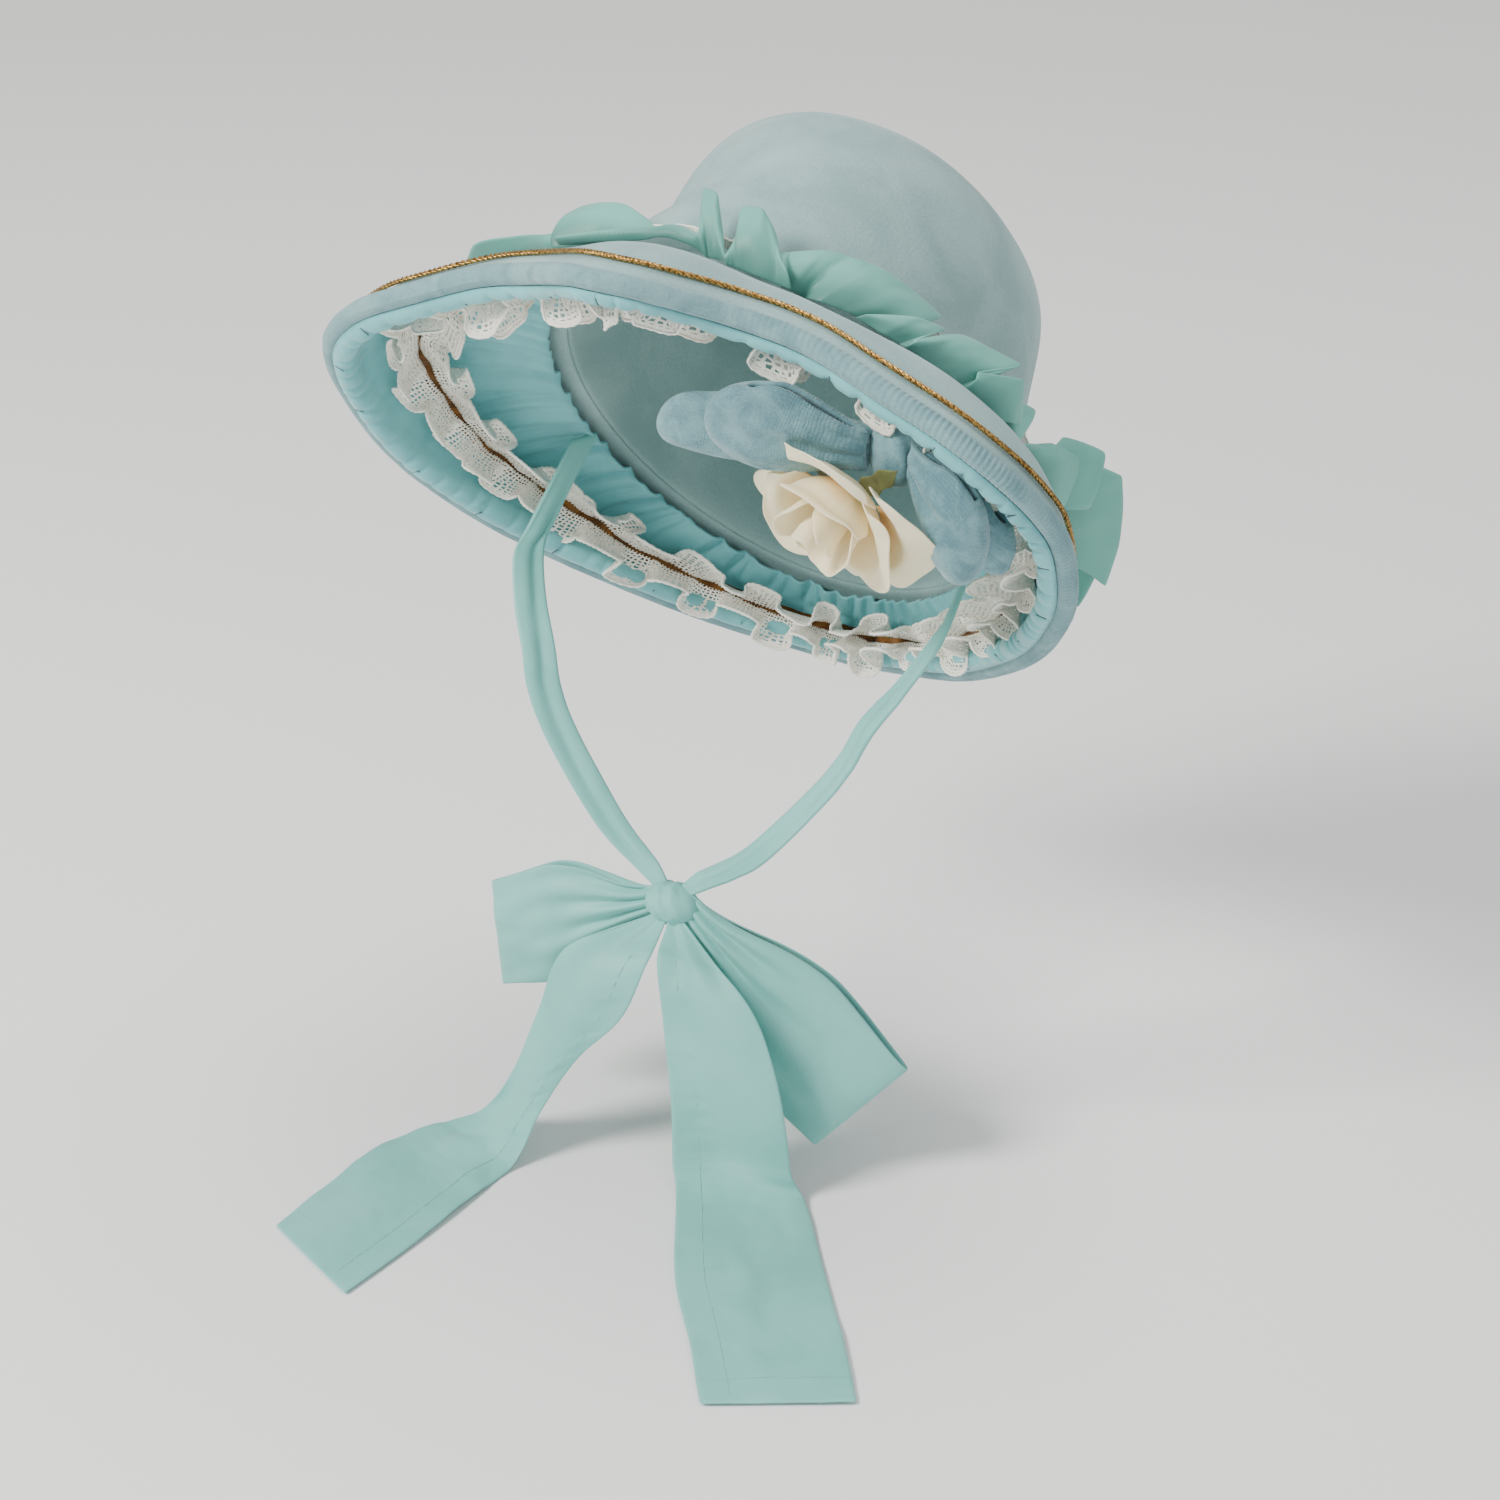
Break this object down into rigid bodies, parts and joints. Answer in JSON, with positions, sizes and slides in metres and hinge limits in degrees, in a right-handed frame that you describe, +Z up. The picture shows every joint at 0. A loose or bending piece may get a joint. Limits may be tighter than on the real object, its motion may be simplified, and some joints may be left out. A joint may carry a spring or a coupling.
{
  "type": "bonnet",
  "caption": "Velour poke bonnet with a tall crown, a flared lined brim, a satin ruffle, lace, a bow with a rose, and ribbon ties knotted under the chin.",
  "frame": {"origin": "highest point inside the crown, where the worn bonnet sits", "axes": "+Z up, the wearer faces -Y, +X to the wearer's left"},
  "size_m": [0.306, 0.355, 0.3844],
  "materials": {
    "crown_velour": "dusty blue velour with a soft brushed nap",
    "edge_velour": "darker blue velour, rolled",
    "gold_cord": "thin twisted metallic cord, satin gold",
    "turquoise_satin": "turquoise satin with a soft sheen",
    "cream_lace": "cream net lace, matt",
    "brown_velvet": "narrow brown velvet ribbon",
    "bow_velour": "blue velour ribbon with a soft nap",
    "rose_cloth": "cream cloth petals, matt with a faint sheen",
    "leaf_cloth": "moss green cloth, matt",
    "chiffon_ribbon": "pale turquoise chiffon, thin and slightly shiny"
  },
  "bodies": {
    "root": {"bow_knot": "bow_velour", "bow_loop_left_back": "bow_velour", "bow_loop_left_front": "bow_velour", "bow_loop_right_back": "bow_velour", "bow_loop_right_front": "bow_velour", "brim": "crown_velour", "brim_lining": "turquoise_satin", "chin_knot": "chiffon_ribbon", "chin_loop_left": "chiffon_ribbon", "chin_loop_right": "chiffon_ribbon", "crown": "crown_velour", "edge_roll": "edge_velour", "gold_cord": "gold_cord", "inner_lace_inner": "cream_lace", "inner_lace_outer": "cream_lace", "inner_ribbon": "brown_velvet", "outer_lace": "cream_lace", "rose_bud": "rose_cloth", "rose_calyx": "leaf_cloth", "rose_petal_1": "rose_cloth", "rose_petal_2": "rose_cloth", "rose_petal_3": "rose_cloth", "rose_petal_4": "rose_cloth", "rose_petal_5": "rose_cloth", "rose_petal_6": "rose_cloth", "rose_petal_7": "rose_cloth", "rose_sepal_1": "leaf_cloth", "rose_sepal_2": "leaf_cloth", "rose_sepal_3": "leaf_cloth", "rose_stem": "leaf_cloth", "ruffle": "turquoise_satin", "tail_left": "chiffon_ribbon", "tail_right": "chiffon_ribbon", "tie_left": "chiffon_ribbon", "tie_right": "chiffon_ribbon"}
  },
  "joints": []
}
